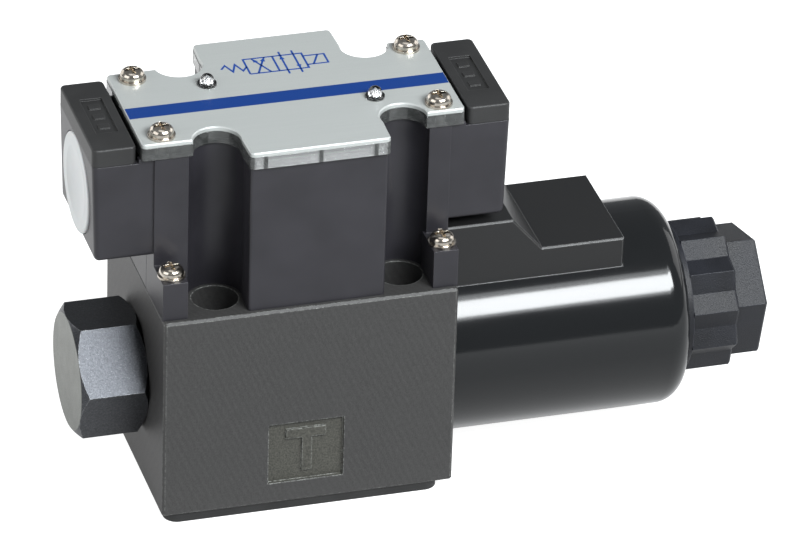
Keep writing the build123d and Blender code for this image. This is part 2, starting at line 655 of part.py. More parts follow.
# ---------------------------------------------------------------- inside the terminal box

with BuildPart() as terminal_block:
    block(-11.0, 13.4, -8.0, 8.0, BOX_FLOOR, BOX_FLOOR + 13.0)
    block(-11.0, 13.4, -8.0, -5.0, BOX_FLOOR + 8.0, BOX_FLOOR + 13.0, Mode.SUBTRACT)
    terminals = [(-8.0 + 6.1 * index, 0.0) for index in range(4)]
    for x, y in terminals:
        block(x - 2.2, x + 2.2, -8.0, 4.0, BOX_FLOOR + 2.5, BOX_FLOOR + 6.5, Mode.SUBTRACT)
    upright(terminals, 2.4, BOX_FLOOR + 10.0, BOX_FLOOR + 13.0, Mode.SUBTRACT)
    upright(terminals, 1.25, BOX_FLOOR + 6.5, BOX_FLOOR + 10.0, Mode.SUBTRACT)
write(terminal_block, "terminal_block")

with BuildPart() as terminal_screws:
    upright(terminals, 2.2, BOX_FLOOR + 10.0, BOX_FLOOR + 11.8)
    upright(terminals, 1.25, BOX_FLOOR + 4.5, BOX_FLOOR + 10.0)
    for x, y in terminals:
        block(x - 2.2, x + 2.2, -0.35, 0.35, BOX_FLOOR + 11.0, BOX_FLOOR + 11.8, Mode.SUBTRACT)
write(terminal_screws, "terminal_screws")

with BuildPart() as earth_screw:
    upright([EARTH_SCREW], 3.0, BOX_FLOOR, BOX_FLOOR + 1.8)
    upright([EARTH_SCREW], 1.5, BOX_FLOOR - 1.5, BOX_FLOOR)
    earth_x = EARTH_SCREW[0]
    block(earth_x - 3.0, earth_x + 3.0, -0.35, 0.35, BOX_FLOOR + 1.0, BOX_FLOOR + 1.8, Mode.SUBTRACT)
write(earth_screw, "earth_screw")

with BuildPart() as circuit_board:
    with BuildSketch(Plane.XY.offset(BOARD_TOP - BOARD_T)):
        with Locations((COLUMN_X, 0)):
            Rectangle(24.5, 42.0)
            Rectangle(40.5, 17.0)
        with Locations(*pillars):
            Circle(1.0, mode=Mode.SUBTRACT)
    extrude(amount=BOARD_T)
write(circuit_board, "circuit_board")

with BuildPart() as board_screws:
    upright(pillars, 1.0, BOARD_TOP - 6.0, BOARD_TOP)
    upright(pillars, 1.9, BOARD_TOP, BOARD_TOP + 1.5)
write(board_screws, "board_screws")

with BuildPart() as indicator_lamps:
    upright(LAMPS, 2.05, NAMEPLATE_TOP, NAMEPLATE_TOP + 0.5)
    upright(LAMPS, LAMP_R, BOARD_TOP, NAMEPLATE_TOP + 1.1)
    with Locations(*[(x, y, NAMEPLATE_TOP + 1.1) for x, y in LAMPS]):
        Sphere(LAMP_R)
write(indicator_lamps, "indicator_lamps")

# ---------------------------------------------------------------- cover, nameplate and end caps

with BuildPart() as cover_gasket:
    with BuildSketch(Plane.XY.offset(BOX_TOP - 0.6)):
        Rectangle(2 * BOX_X - 4, 2 * CAVITY_Y)
        with Locations((COLUMN_X, 0)):
            Rectangle(2 * COLUMN_HALF - 2 * BOX_WALL, 2 * COLUMN_Y - 2 * BOX_WALL)
        Rectangle(2 * BOX_X - 6, 2 * CAVITY_Y - 1.0, mode=Mode.SUBTRACT)
        with Locations((COLUMN_X, 0)):
            Rectangle(2 * COLUMN_HALF - 2 * BOX_WALL - 2, 2 * COLUMN_Y - 2 * BOX_WALL - 2, mode=Mode.SUBTRACT)
    extrude(amount=0.6)
write(cover_gasket, "cover_gasket")

with BuildPart() as lamp_cover:
    with BuildSketch(Plane.XY.offset(BOX_TOP)):
        plan(COVER_X, COVER_Y, TAB_HALF, TAB_Y, COVER_WELL_R)
    extrude(amount=COVER_T)
    fillet(outer_corners(lamp_cover, COVER_X, TAB_Y), COVER_CORNER_R)
    # hollow underside of each centre tab, with cross ribs between its cells
    with BuildSketch(Plane.XY.offset(BOX_TOP)):
        with Locations((COLUMN_X, 0)):
            for x, width in COVER_CELLS:
                with Locations((x, -sum(CELL_Y) / 2), (x, sum(CELL_Y) / 2)):
                    Rectangle(width, CELL_Y[1] - CELL_Y[0])
    extrude(amount=CELL_DEPTH, mode=Mode.SUBTRACT)
    upright(COVER_SCREWS, SCREW_R + 0.1, BOX_TOP, COVER_TOP, Mode.SUBTRACT)
    upright(LAMPS, LAMP_R + 0.05, BOX_TOP, COVER_TOP, Mode.SUBTRACT)
write(lamp_cover, "lamp_cover")

with BuildPart() as nameplate:
    with BuildSketch(Plane.XY.offset(COVER_TOP)):
        plan(COVER_X, COVER_Y, TAB_HALF, TAB_Y, COVER_WELL_R, PLATE_INSET)
    extrude(amount=NAMEPLATE_T)
    fillet(outer_corners(nameplate, COVER_X - PLATE_INSET, TAB_Y - PLATE_INSET), COVER_CORNER_R)
    chamfer(nameplate.faces().sort_by(Axis.Z)[-1].edges(), 0.25)
    upright(COVER_SCREWS, SCREW_R + 0.1, COVER_TOP, NAMEPLATE_TOP, Mode.SUBTRACT)
    upright(LAMPS, LAMP_R + 0.05, COVER_TOP, NAMEPLATE_TOP, Mode.SUBTRACT)
write(nameplate, "nameplate")

cover_screw = pan_screw(COVER_T + NAMEPLATE_T + 7.5)
with BuildPart() as cover_screws:
    with Locations(*[(x, y, NAMEPLATE_TOP) for x, y in COVER_SCREWS]):
        add(cover_screw)
write(cover_screws, "cover_screws")

for side, label in ((-1, "left_end_cap"), (1, "right_end_cap")):
    with BuildPart() as end_cap:
        xs = sorted((side * CAP_X[0], side * CAP_X[1]))
        block(*xs, -CAP_Y, CAP_Y, WING_TOP, CAP_TOP)
        fillet(end_cap.edges().filter_by(Axis.Z), WING_CORNER_R)
        fillet(end_cap.faces().sort_by(Axis.Z)[-1].edges(), 0.5)
        # rim that drops into the wing
        rim_x = sorted((side * (CAP_X[0] + 0.3), side * (WING_BOTTOM_X - WING_WALL - 0.2)))
        block(*rim_x, -WING_Y + BOX_WALL + 0.2, WING_Y - BOX_WALL - 0.2, WING_TOP - CAP_RIM, WING_TOP)
        # label field with three raised bars
        field = sorted((side * LABEL_X[0], side * LABEL_X[1]))
        block(*field, *LABEL_Y, CAP_TOP - LABEL_DEPTH, CAP_TOP, Mode.SUBTRACT)
        bars = sorted((side * BAR_X[0], side * BAR_X[1]))
        for y in BAR_YS:
            block(*bars, y - BAR_HALF, y + BAR_HALF, CAP_TOP - LABEL_DEPTH, CAP_TOP - 0.2)
    write(end_cap, label)
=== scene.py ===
from math import cos, pi, sin, tau

import bmesh
import bpy
from mathutils import Matrix, Vector


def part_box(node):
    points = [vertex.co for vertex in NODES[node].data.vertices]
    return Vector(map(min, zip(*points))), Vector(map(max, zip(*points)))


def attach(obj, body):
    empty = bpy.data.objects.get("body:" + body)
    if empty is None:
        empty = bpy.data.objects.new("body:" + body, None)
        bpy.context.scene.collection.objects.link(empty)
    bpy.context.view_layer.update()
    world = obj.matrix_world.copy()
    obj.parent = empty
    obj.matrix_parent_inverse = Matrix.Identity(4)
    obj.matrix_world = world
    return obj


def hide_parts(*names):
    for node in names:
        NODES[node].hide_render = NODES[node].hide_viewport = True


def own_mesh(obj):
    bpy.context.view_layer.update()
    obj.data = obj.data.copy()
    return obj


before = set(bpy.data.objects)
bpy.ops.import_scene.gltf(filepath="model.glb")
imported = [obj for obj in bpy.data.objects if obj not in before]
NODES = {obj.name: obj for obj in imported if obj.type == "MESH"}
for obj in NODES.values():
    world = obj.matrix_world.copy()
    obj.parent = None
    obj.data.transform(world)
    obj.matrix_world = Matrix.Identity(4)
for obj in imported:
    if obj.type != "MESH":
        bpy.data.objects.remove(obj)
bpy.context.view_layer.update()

MM = 0.001


# ---------------------------------------------------------------- places read from the frame

def low(node):
    """Lowest corner of a CAD node, in millimetres."""
    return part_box(node)[0] / MM


def high(node):
    """Highest corner of a CAD node, in millimetres."""
    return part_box(node)[1] / MM


PLATE_TOP = high("nameplate")[2]
AXIS_Z = (low("coil_nut")[2] + high("coil_nut")[2]) / 2
COLUMN_X = 1.25
FACE_X = low("end_plug")[0]
FACE_FADE = (0.04, 0.12)

# areas that a material paints differently, in millimetres
LETTER_RECESS = {"X": (-8.95, 7.65), "Z": (7.05, 21.65), "Y": (-24.5, -20)}
CONNECTOR_BLOCK = {"X": (20.0, 72.1), "Y": (-14.1, 14.1), "Z": (AXIS_Z + 17.6, 200)}
STRIPE = {"Y": (-4.2, 0.35), "Z": (PLATE_TOP - 0.1, PLATE_TOP + 1)}
TAB_START_Y = 17.5
CELLS_HALF_X = 14.3
RIB_XS = (-11.9, 0.0, 11.9)
RIB_HALF = 0.45


# ---------------------------------------------------------------- material kit

class Surface:
    """A node material. Texture coordinates are the CAD frame in millimetres."""

    def __init__(self, name, roughness=0.5, metallic=0.0, specular=0.5, coat=0.0, coat_roughness=0.05):
        self.material = bpy.data.materials.new(name)
        self.material.use_nodes = True
        self.tree = self.material.node_tree
        self.shader = self.tree.nodes["Principled BSDF"]
        self.shader.inputs["Roughness"].default_value = roughness
        self.shader.inputs["Metallic"].default_value = metallic
        self.shader.inputs["Specular IOR Level"].default_value = specular
        self.shader.inputs["Coat Weight"].default_value = coat
        self.shader.inputs["Coat Roughness"].default_value = coat_roughness
        coordinates = self.new("ShaderNodeTexCoord")
        self.place = self.stretched(coordinates.outputs["Object"], (1 / MM, 1 / MM, 1 / MM))

    def new(self, kind, **inputs):
        made = self.tree.nodes.new(kind)
        for key, value in inputs.items():
            made.inputs[key.replace("_", " ")].default_value = value
        return made

    def link(self, source, target):
        self.tree.links.new(source, target)

    def stretched(self, source, scale):
        mapping = self.new("ShaderNodeMapping")
        mapping.inputs["Scale"].default_value = scale
        self.link(source, mapping.inputs["Vector"])
        return mapping.outputs["Vector"]

    def noise(self, per_mm, detail=3.0, rough=0.6, stretch=(1, 1, 1)):
        """Noise of that many cells to the millimetre."""
        texture = self.new("ShaderNodeTexNoise", Scale=per_mm, Detail=detail, Roughness=rough)
        self.link(self.stretched(self.place, stretch), texture.inputs["Vector"])
        return texture.outputs["Fac"]

    def ramp(self, value, start, end):
        """0 below start, 1 above end."""
        node = self.new("ShaderNodeMapRange", From_Min=start, From_Max=end)
        node.clamp = True
        self.link(value, node.inputs["Value"])
        return node.outputs["Result"]

    def scaled(self, value, to_low, to_high):
        """0 to 1 mapped to that range."""
        node = self.new("ShaderNodeMapRange", To_Min=to_low, To_Max=to_high)
        self.link(value, node.inputs["Value"])
        return node.outputs["Result"]

    def math(self, operation, a, b=None):
        node = self.new("ShaderNodeMath")
        node.operation = operation
        for index, value in enumerate((a, b)):
            if value is None:
                continue
            if isinstance(value, (int, float)):
                node.inputs[index].default_value = value
            else:
                self.link(value, node.inputs[index])
        return node.outputs["Value"]

    def axis(self, letter):
        """A coordinate in millimetres."""
        split = self.new("ShaderNodeSeparateXYZ")
        self.link(self.place, split.inputs["Vector"])
        return split.outputs[letter]

    def within(self, letter, start, end, soft=0.05):
        """1 between two coordinates, 0 outside."""
        value = self.axis(letter)
        rise = self.ramp(value, start - soft, start + soft)
        fall = self.ramp(value, end + soft, end - soft)
        return self.math("MULTIPLY", rise, fall)

    def inside(self, area, soft=0.05):
        """1 inside an area given as a range on each of some axes."""
        total = 1.0
        for letter, (start, end) in area.items():
            total = self.math("MULTIPLY", self.within(letter, start, end, soft), total)
        return total

    def mix(self, factor, a, b):
        node = self.new("ShaderNodeMix")
        node.data_type = "RGBA"
        self.link(factor, node.inputs["Factor"])
        for socket, value in (("A", a), ("B", b)):
            target = [s for s in node.inputs if s.name == socket and s.type == "RGBA"][0]
            if isinstance(value, tuple):
                target.default_value = (*value, 1.0)
            else:
                self.link(value, target)
        return [s for s in node.outputs if s.type == "RGBA"][0]

    def edges(self, radius_mm):
        """1 on sharp edges within that radius, 0 on flats."""
        bevel = self.new("ShaderNodeBevel", Radius=radius_mm * MM)
        bevel.samples = 6
        geometry = self.new("ShaderNodeNewGeometry")
        dot = self.new("ShaderNodeVectorMath")
        dot.operation = "DOT_PRODUCT"
        self.link(bevel.outputs["Normal"], dot.inputs[0])
        self.link(geometry.outputs["Normal"], dot.inputs[1])
        return self.ramp(dot.outputs["Value"], 0.995, 0.80)

    def colour(self, value):
        if isinstance(value, tuple):
            self.shader.inputs["Base Color"].default_value = (*value, 1.0)
        else:
            self.link(value, self.shader.inputs["Base Color"])

    def rough(self, value, to_low, to_high):
        self.link(self.scaled(value, to_low, to_high), self.shader.inputs["Roughness"])

    def bump(self, *layers, soften_mm=0.0):
        """Layers of (height, depth in millimetres), over an optional softened edge."""
        normal = None
        if soften_mm:
            bevel = self.new("ShaderNodeBevel", Radius=soften_mm * MM)
            bevel.samples = 6
            normal = bevel.outputs["Normal"]
        for height, depth in layers:
            node = self.new("ShaderNodeBump", Strength=1.0, Distance=depth * MM)
            self.link(height, node.inputs["Height"])
            if normal is not None:
                self.link(normal, node.inputs["Normal"])
            normal = node.outputs["Normal"]
        self.link(normal, self.shader.inputs["Normal"])


# ---------------------------------------------------------------- materials

# darkest and lightest tone of the printed blue
PRINT_BLUE = ((0.001, 0.036, 0.205), (0.002, 0.047, 0.26))
CLEAR_IOR = 1.5


def cast_iron():
    """Phosphated grey iron, ground flat: fine grain, faint wavy grinding lines, edges rubbed bright partly
    by wear and partly by a painted edge highlight.
    """
    s = Surface("cast_iron", specular=0.42)
    grain = s.noise(2.6, 4.0)
    mottle = s.noise(0.12, 2.0)
    lines = s.new("ShaderNodeTexWave", Scale=0.42, Distortion=1.6, Detail=2.0, Detail_Scale=0.35)
    lines.bands_direction = "DIAGONAL"
    s.link(s.stretched(s.place, (1.0, 0.6, 0.45)), lines.inputs["Vector"])
    grind = s.math("MULTIPLY", lines.outputs["Fac"], s.ramp(s.noise(0.9, 3.0), 0.25, 0.75))
    recess = s.inside(LETTER_RECESS)
    base = s.mix(s.ramp(grain, 0.30, 0.72), (0.0225, 0.0219, 0.0215), (0.0405, 0.0395, 0.0388))
    base = s.mix(s.math("MULTIPLY", grind, 0.14), base, (0.088, 0.088, 0.086))
    base = s.mix(s.math("MULTIPLY", s.ramp(mottle, 0.4, 0.7), 0.25), base, (0.034, 0.034, 0.0335))
    sand = s.mix(s.ramp(grain, 0.32, 0.66), (0.022, 0.0217, 0.0178), (0.067, 0.066, 0.055))
    base = s.mix(recess, base, sand)
    # edges: patchy lighter colour, partly real wear and partly a painted highlight on the edges
    chips = s.ramp(s.noise(1.4, 5.0, 0.7), 0.42, 0.62)
    rubbed_and_lit_edges = s.math("MULTIPLY", s.edges(0.5), chips)
    base = s.mix(s.math("MULTIPLY", rubbed_and_lit_edges, 0.9), base, (0.30, 0.31, 0.29))
    s.colour(base)
    s.rough(grain, 0.40, 0.60)
    s.bump((grain, 0.03), (grind, 0.006), soften_mm=0.3)
    return s.material


def moulded(name, dark, light, roughness, grain_depth=0.012, specular=0.40, edge_highlight=0.25, per_mm=7.0):
    """Black moulded plastic: spark grain, made slightly lighter on its edges by a painted highlight."""
    s = Surface(name, specular=specular)
    grain = s.noise(per_mm, 2.0)
    cloud = s.noise(0.09, 2.0)
    base = s.mix(s.ramp(cloud, 0.35, 0.65), dark, light)
    # painted highlight on the edges: a lighter copy of the plastic colour
    lit = tuple(c * 3.0 + 0.015 for c in light)
    base = s.mix(s.math("MULTIPLY", s.edges(0.3), edge_highlight), base, lit)
    s.colour(base)
    s.rough(s.math("ADD", s.math("MULTIPLY", grain, 0.5), s.math("MULTIPLY", cloud, 0.5)), *roughness)
    s.bump((grain, grain_depth), soften_mm=0.25)
    return s.material


def coil_black():
    """Glossy black overmould on the round coil, satin on its connector block, with a painted highlight on
    the block's edges.
    """
    s = Surface("coil_black", specular=0.40)
    block = s.inside(CONNECTOR_BLOCK)
    grain = s.noise(6.0, 2.0)
    ripple = s.noise(0.05, 1.0)
    base = s.mix(block, (0.0068, 0.0074, 0.0080), (0.0095, 0.0095, 0.0098))
    # painted highlight: thin light grey lines on the connector block's edges
    base = s.mix(s.math("MULTIPLY", s.edges(0.25), s.math("MULTIPLY", block, 0.8)), base, (0.24, 0.24, 0.24))
    s.colour(base)
    gloss = s.scaled(ripple, 0.09, 0.13)
    satin = s.scaled(grain, 0.30, 0.40)
    node = s.new("ShaderNodeMix")
    s.link(block, node.inputs["Factor"])
    s.link(gloss, node.inputs["A"])
    s.link(satin, node.inputs["B"])
    s.link(node.outputs["Result"], s.shader.inputs["Roughness"])
    s.bump((s.math("MULTIPLY", grain, block), 0.008), (ripple, 0.05), soften_mm=0.3)
    return s.material


def nameplate_silver():
    """Satin silver plate with one printed blue stripe along it."""
    s = Surface("nameplate_silver", metallic=0.35, specular=0.5)
    fine = s.noise(5.0, 3.0)
    brushed = s.noise(1.2, 3.0, stretch=(0.06, 2.0, 1.0))
    silver = s.mix(s.ramp(fine, 0.3, 0.7), (0.390, 0.410, 0.400), (0.455, 0.476, 0.465))
    silver = s.mix(s.math("MULTIPLY", brushed, 0.35), silver, (0.54, 0.56, 0.545))
    s.colour(s.mix(s.inside(STRIPE, 0.04), silver, s.mix(fine, *PRINT_BLUE)))
    s.rough(fine, 0.34, 0.46)
    s.bump((fine, 0.004), (brushed, 0.004), soften_mm=0.15)
    return s.material


def clear(name, tint, roughness, transmission):
    """Clear moulded plastic with faint flow lines."""
    s = Surface(name, roughness=roughness)
    s.shader.inputs["Transmission Weight"].default_value = transmission
    s.shader.inputs["IOR"].default_value = CLEAR_IOR
    flow = s.noise(0.5, 2.0)
    s.colour(s.mix(flow, tint, tuple(min(1.0, c * 1.04) for c in tint)))
    s.bump((flow, 0.02), soften_mm=0.1)
    return s.material


def clear_cover():
    """Clear cover: painted shade darkens it where it lies on the dark box, and painted light makes its
    hollow cells light.
    """
    s = Surface("clear_cover", roughness=0.04)
    s.shader.inputs["Transmission Weight"].default_value = 0.82
    s.shader.inputs["IOR"].default_value = CLEAR_IOR
    flow = s.noise(0.5, 2.0)
    tabs = s.math("GREATER_THAN", s.math("ABSOLUTE", s.axis("Y")), TAB_START_Y)
    cells = s.math("MULTIPLY", tabs, s.within("X", COLUMN_X - CELLS_HALF_X, COLUMN_X + CELLS_HALF_X, 0.2))
    for rib in RIB_XS:
        here = s.within("X", COLUMN_X + rib - RIB_HALF, COLUMN_X + rib + RIB_HALF, 0.1)
        cells = s.math("MULTIPLY", cells, s.math("SUBTRACT", 1.0, here))
    # base colours: painted shade over the dark box, painted light in the hollow cells
    painted_shade_tint = s.mix(s.ramp(flow, 0.35, 0.65), (0.16, 0.17, 0.165), (0.34, 0.35, 0.345))
    painted_light_tint = s.mix(s.ramp(flow, 0.35, 0.65), (0.86, 0.88, 0.87), (0.97, 0.98, 0.98))
    s.colour(s.mix(cells, painted_shade_tint, painted_light_tint))
    s.bump((flow, 0.02), soften_mm=0.12)
    return s.material


def metal(name, dark, light, roughness, per_mm=1.5, stretch=(1, 1, 1), depth=0.005):
    """Bare or plated metal with a directional finish."""
    s = Surface(name, metallic=1.0)
    finish = s.noise(per_mm, 4.0, stretch=stretch)
    tarnish = s.noise(0.2, 3.0)
    base = s.mix(s.ramp(finish, 0.3, 0.7), dark, light)
    base = s.mix(s.math("MULTIPLY", s.ramp(tarnish, 0.45, 0.75), 0.3), base, dark)
    s.colour(base)
    s.rough(finish, *roughness)
    s.bump((finish, depth), soften_mm=0.15)
    return s.material


def blued_hexagon():
    """Oxide-blued steel: end face lighter in colour than the darker speckled flats, edges bright partly by
    wear and partly by a painted edge highlight.
    """
    s = Surface("black_oxide", metallic=1.0)
    finish = s.noise(2.2, 4.0)
    cloud = s.noise(0.25, 3.0)
    flat = s.mix(s.ramp(finish, 0.3, 0.7), (0.036, 0.0375, 0.041), (0.072, 0.075, 0.082))
    flat = s.mix(s.math("MULTIPLY", s.ramp(s.noise(4.5, 2.0), 0.60, 0.72), 0.3), flat, (0.30, 0.31, 0.33))
    face = s.mix(s.ramp(cloud, 0.3, 0.7), (0.130, 0.136, 0.125), (0.175, 0.182, 0.168))
    # the end face is given a lighter colour than the flats
    end_face = s.ramp(s.axis("X"), FACE_X + FACE_FADE[1], FACE_X + FACE_FADE[0])
    base = s.mix(end_face, flat, face)
    # edges: lighter patches, partly real wear and partly a painted edge highlight
    rubbed_and_lit_edges = s.math("MULTIPLY", s.edges(0.4), s.ramp(s.noise(0.9, 4.0), 0.40, 0.60))
    base = s.mix(s.math("MULTIPLY", rubbed_and_lit_edges, 0.75), base, (0.42, 0.43, 0.44))
    s.colour(base)
    s.rough(finish, 0.32, 0.50)
    s.bump((finish, 0.03), soften_mm=0.2)
    return s.material


def matt(name, dark, light, roughness, subsurface=0.0, depth=0.006):
    """Plain plastic, rubber or board with slight variation."""
    s = Surface(name)
    s.shader.inputs["Subsurface Weight"].default_value = subsurface
    s.shader.inputs["Subsurface Scale"].default_value = 1.5 * MM
    cloud = s.noise(0.25, 3.0)
    grain = s.noise(5.0, 2.0)
    s.colour(s.mix(cloud, dark, light))
    s.rough(grain, *roughness)
    s.bump((grain, depth), soften_mm=0.2)
    return s.material


def dress():
    """Give every CAD node its material."""
    steel = metal("ground_steel", (0.42, 0.42, 0.42), (0.62, 0.62, 0.61), (0.18, 0.34), 2.0, (0.1, 1, 1))
    zinc = metal("zinc_steel", (0.40, 0.41, 0.42), (0.60, 0.61, 0.61), (0.28, 0.42), 1.2)
    brass = metal("brass", (0.60, 0.42, 0.16), (0.78, 0.58, 0.26), (0.22, 0.36), 1.5)
    copper = metal(
        "copper_wire", (0.45, 0.16, 0.06), (0.72, 0.31, 0.14), (0.25, 0.4),
        per_mm=1.0, stretch=(4.0, 0.1, 0.1), depth=0.05,
    )
    nickel = metal("nickel_screw", (0.36, 0.32, 0.27), (0.66, 0.61, 0.54), (0.10, 0.26), 1.3, depth=0.015)
    rubber = matt("nitrile", (0.012, 0.012, 0.012), (0.022, 0.022, 0.022), (0.5, 0.65))
    box = moulded("box_black", (0.0165, 0.0158, 0.0192), (0.0215, 0.0205, 0.0248), (0.34, 0.46))
    cap = moulded("cap_black", (0.0165, 0.0165, 0.0165), (0.022, 0.022, 0.022), (0.44, 0.56), 0.02)
    # the nut gets a strong painted highlight on its edges
    nut = moulded(
        "nut_black", (0.0040, 0.0045, 0.0066), (0.0080, 0.0090, 0.0130), (0.42, 0.60),
        grain_depth=0.09, specular=0.36, edge_highlight=0.8, per_mm=3.2,
    )
    sheet = moulded("seal_plate_black", (0.010, 0.010, 0.010), (0.018, 0.018, 0.018), (0.40, 0.55))
    white = matt("white_plastic", (0.45, 0.470, 0.472), (0.52, 0.542, 0.545), (0.28, 0.38), 0.1)
    board = matt("board_green", (0.010, 0.10, 0.035), (0.016, 0.15, 0.05), (0.25, 0.35))
    nylon = matt("nylon_grey", (0.42, 0.42, 0.40), (0.52, 0.52, 0.49), (0.4, 0.5))
    bobbin = matt("bobbin_nylon", (0.05, 0.05, 0.055), (0.08, 0.08, 0.085), (0.4, 0.5))
    finishes = {
        cast_iron(): ["valve_body"],
        sheet: ["seal_plate"],
        steel: ["spool", "push_pin"],
        zinc: [
            "spring_seat", "pole_piece", "core_tube", "armature",
            "flux_washers", "flux_sleeve", "board_screws",
        ],
        brass: ["armature_shim", "override_pin", "coil_contacts", "terminal_screws", "earth_screw"],
        copper: ["coil_winding"],
        blued_hexagon(): ["end_plug"],
        nickel: ["box_screws", "cover_screws"],
        rubber: [
            "port_o_rings", "end_plug_o_ring", "pole_o_ring", "override_o_ring",
            "nut_o_ring", "box_seal", "cover_gasket",
        ],
        coil_black(): ["coil_housing"],
        nut: ["coil_nut"],
        box: ["terminal_box", "socket_blank"],
        cap: ["left_end_cap", "right_end_cap"],
        white: ["conduit_plug"],
        nylon: ["terminal_block"],
        board: ["circuit_board"],
        bobbin: ["coil_bobbin"],
        nameplate_silver(): ["nameplate"],
        clear_cover(): ["lamp_cover"],
        clear("lamp_lens", (0.97, 0.98, 0.98), 0.02, 1.0): ["indicator_lamps"],
    }
    for material, names in finishes.items():
        for name in names:
            mesh = NODES[name].data
            mesh.materials.clear()
            mesh.materials.append(material)


# ---------------------------------------------------------------- pieces made here

def piece(name, mesh_bm, material, smooth=False):
    """A finished mesh from bmesh, riding on the valve."""
    bmesh.ops.recalc_face_normals(mesh_bm, faces=mesh_bm.faces)
    mesh = bpy.data.meshes.new(name)
    mesh_bm.to_mesh(mesh)
    mesh_bm.free()
    for face in mesh.polygons:
        face.use_smooth = smooth
    mesh.materials.append(material)
    obj = bpy.data.objects.new(name, mesh)
    bpy.context.scene.collection.objects.link(obj)
    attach(obj, "valve")
    return obj


def prism(bm, outline, bottom, top):
    """A closed prism over a plan outline, millimetres in, metres out."""
    rings = [[bm.verts.new((x * MM, y * MM, z * MM)) for x, y in outline] for z in (bottom, top)]
    bm.faces.new(rings[0][::-1])
    bm.faces.new(rings[1])
    count = len(outline)
    for index in range(count):
        after = (index + 1) % count
        bm.faces.new((rings[0][index], rings[0][after], rings[1][after], rings[1][index]))


def ribbon(bm, points, width, bottom, top):
    """A flat mitred strip along an open run of plan points."""
    left, right = [], []
    for index, point in enumerate(points):
        here = Vector(point)
        before = (here - Vector(points[index - 1])).normalized() if index else None
        after = (Vector(points[index + 1]) - here).normalized() if index + 1 < len(points) else None
        before, after = before or after, after or before
        across = Vector((-before.y - after.y, before.x + after.x)).normalized()
        reach = width / 2 / max(0.3, across.dot(Vector((-after.y, after.x))))
        left.append(here + across * reach)
        right.append(here - across * reach)
    prism(bm, [tuple(p) for p in left] + [tuple(p) for p in reversed(right)], bottom, top)


# millimetres
SYMBOL_CENTRE = (COLUMN_X, high("nameplate")[1] * 0.5)
SYMBOL_CELL = 6.4
SYMBOL_LINE = 0.42
SYMBOL_T = 0.03
SYMBOL_PORT_L = 1.6
SPRING_STEP = 1.1
SPRING_SWING = 1.5
SOLENOID_L = 4.6
SOLENOID_HALF = 1.9
SOLENOID_SLANT = (1.4, 3.2)
ARROW_L = 1.5
ARROW_HALF = 0.55
ARROW_GAP = 0.2


def flow_symbol(material):
    """Printed circuit symbol of a spring-offset, solenoid-operated two-position valve."""
    cx, cy = SYMBOL_CENTRE
    cell, half = SYMBOL_CELL, SYMBOL_CELL / 2
    bottom, top = PLATE_TOP - 0.01, PLATE_TOP + SYMBOL_T
    left, right, near, far = cx - cell, cx + cell, cy - half, cy + half
    a, b = cell * 0.28, cell * 0.72
    strokes = [
        [(left, near), (left, far), (right, far), (right, near), (left, near)],
        [(cx, near), (cx, far)],
        [(left + a, near), (left + b, far)],
        [(left + b, near), (left + a, far)],
        [(cx + a, near), (cx + a, far)],
        [(cx + b, near), (cx + b, far)],
    ]
    for x in (cx + a, cx + b):
        strokes.append([(x, far), (x, far + SYMBOL_PORT_L)])
        strokes.append([(x, near), (x, near - SYMBOL_PORT_L)])
    # spring on the left, solenoid with its slanted line on the right
    swings = (0, -SPRING_SWING, SPRING_SWING, -SPRING_SWING, SPRING_SWING, 0)
    strokes.append([(left - SPRING_STEP * step, cy + swing) for step, swing in enumerate(swings)])
    low_y, high_y, outer = cy - SOLENOID_HALF, cy + SOLENOID_HALF, right + SOLENOID_L
    strokes.append([(right, low_y), (outer, low_y), (outer, high_y), (right, high_y)])
    strokes.append([(right + SOLENOID_SLANT[0], low_y), (right + SOLENOID_SLANT[1], high_y)])
    bm = bmesh.new()
    for points in strokes:
        ribbon(bm, points, SYMBOL_LINE, bottom, top)
    # arrow heads
    for tip, tail in (
        ((left + b, far), (left + a, near)),
        ((left + a, far), (left + b, near)),
        ((cx + a, far), (cx + a, near)),
        ((cx + b, near), (cx + b, far)),
    ):
        along = (Vector(tip) - Vector(tail)).normalized()
        side = Vector((-along.y, along.x))
        point = Vector(tip) - along * ARROW_GAP
        base = point - along * ARROW_L
        barbs = [tuple(base + side * reach) for reach in (ARROW_HALF, -ARROW_HALF)]
        prism(bm, [tuple(point), *barbs], bottom, top + 0.005)
    return piece("flow_symbol", bm, material)


# millimetres; heights are over the plate
LAMP_FLANGE_R = 2.05
PLEATS = 9
PLEAT_RADII = (0.85, 1.28)
RIM_UP, APEX_UP, FOOT_UP = 0.45, 2.1, 0.35


def lamp_places():
    """Plan centres of the two indicator lamps."""
    lowest, highest = low("indicator_lamps"), high("indicator_lamps")
    return (
        (lowest[0] + LAMP_FLANGE_R, highest[1] - LAMP_FLANGE_R),
        (highest[0] - LAMP_FLANGE_R, lowest[1] + LAMP_FLANGE_R),
    )


def lamp_reflectors(material):
    """Bright pleated reflector under each lamp's clear dome."""
    for number, (x, y) in enumerate(lamp_places(), 1):
        bm = bmesh.new()
        rim = []
        for step in range(2 * PLEATS):
            radius = PLEAT_RADII[step % 2]
            angle = tau * step / (2 * PLEATS)
            at = (x + radius * cos(angle), y + radius * sin(angle), PLATE_TOP + RIM_UP)
            rim.append(bm.verts.new(Vector(at) * MM))
        apex = bm.verts.new(Vector((x, y, PLATE_TOP + APEX_UP)) * MM)
        foot = bm.verts.new(Vector((x, y, PLATE_TOP + FOOT_UP)) * MM)
        for step, vert in enumerate(rim):
            after = rim[(step + 1) % len(rim)]
            bm.faces.new((vert, after, apex))
            bm.faces.new((after, vert, foot))
        piece(f"lamp_reflector_{number}", bm, material)


# millimetres; the steps and sides are counts
WIRE_R = 0.6
SPRING_TURNS = 7
SPRING_STEPS = 28
WIRE_SIDES = 12
DEAD_PITCH = 2.1 * WIRE_R


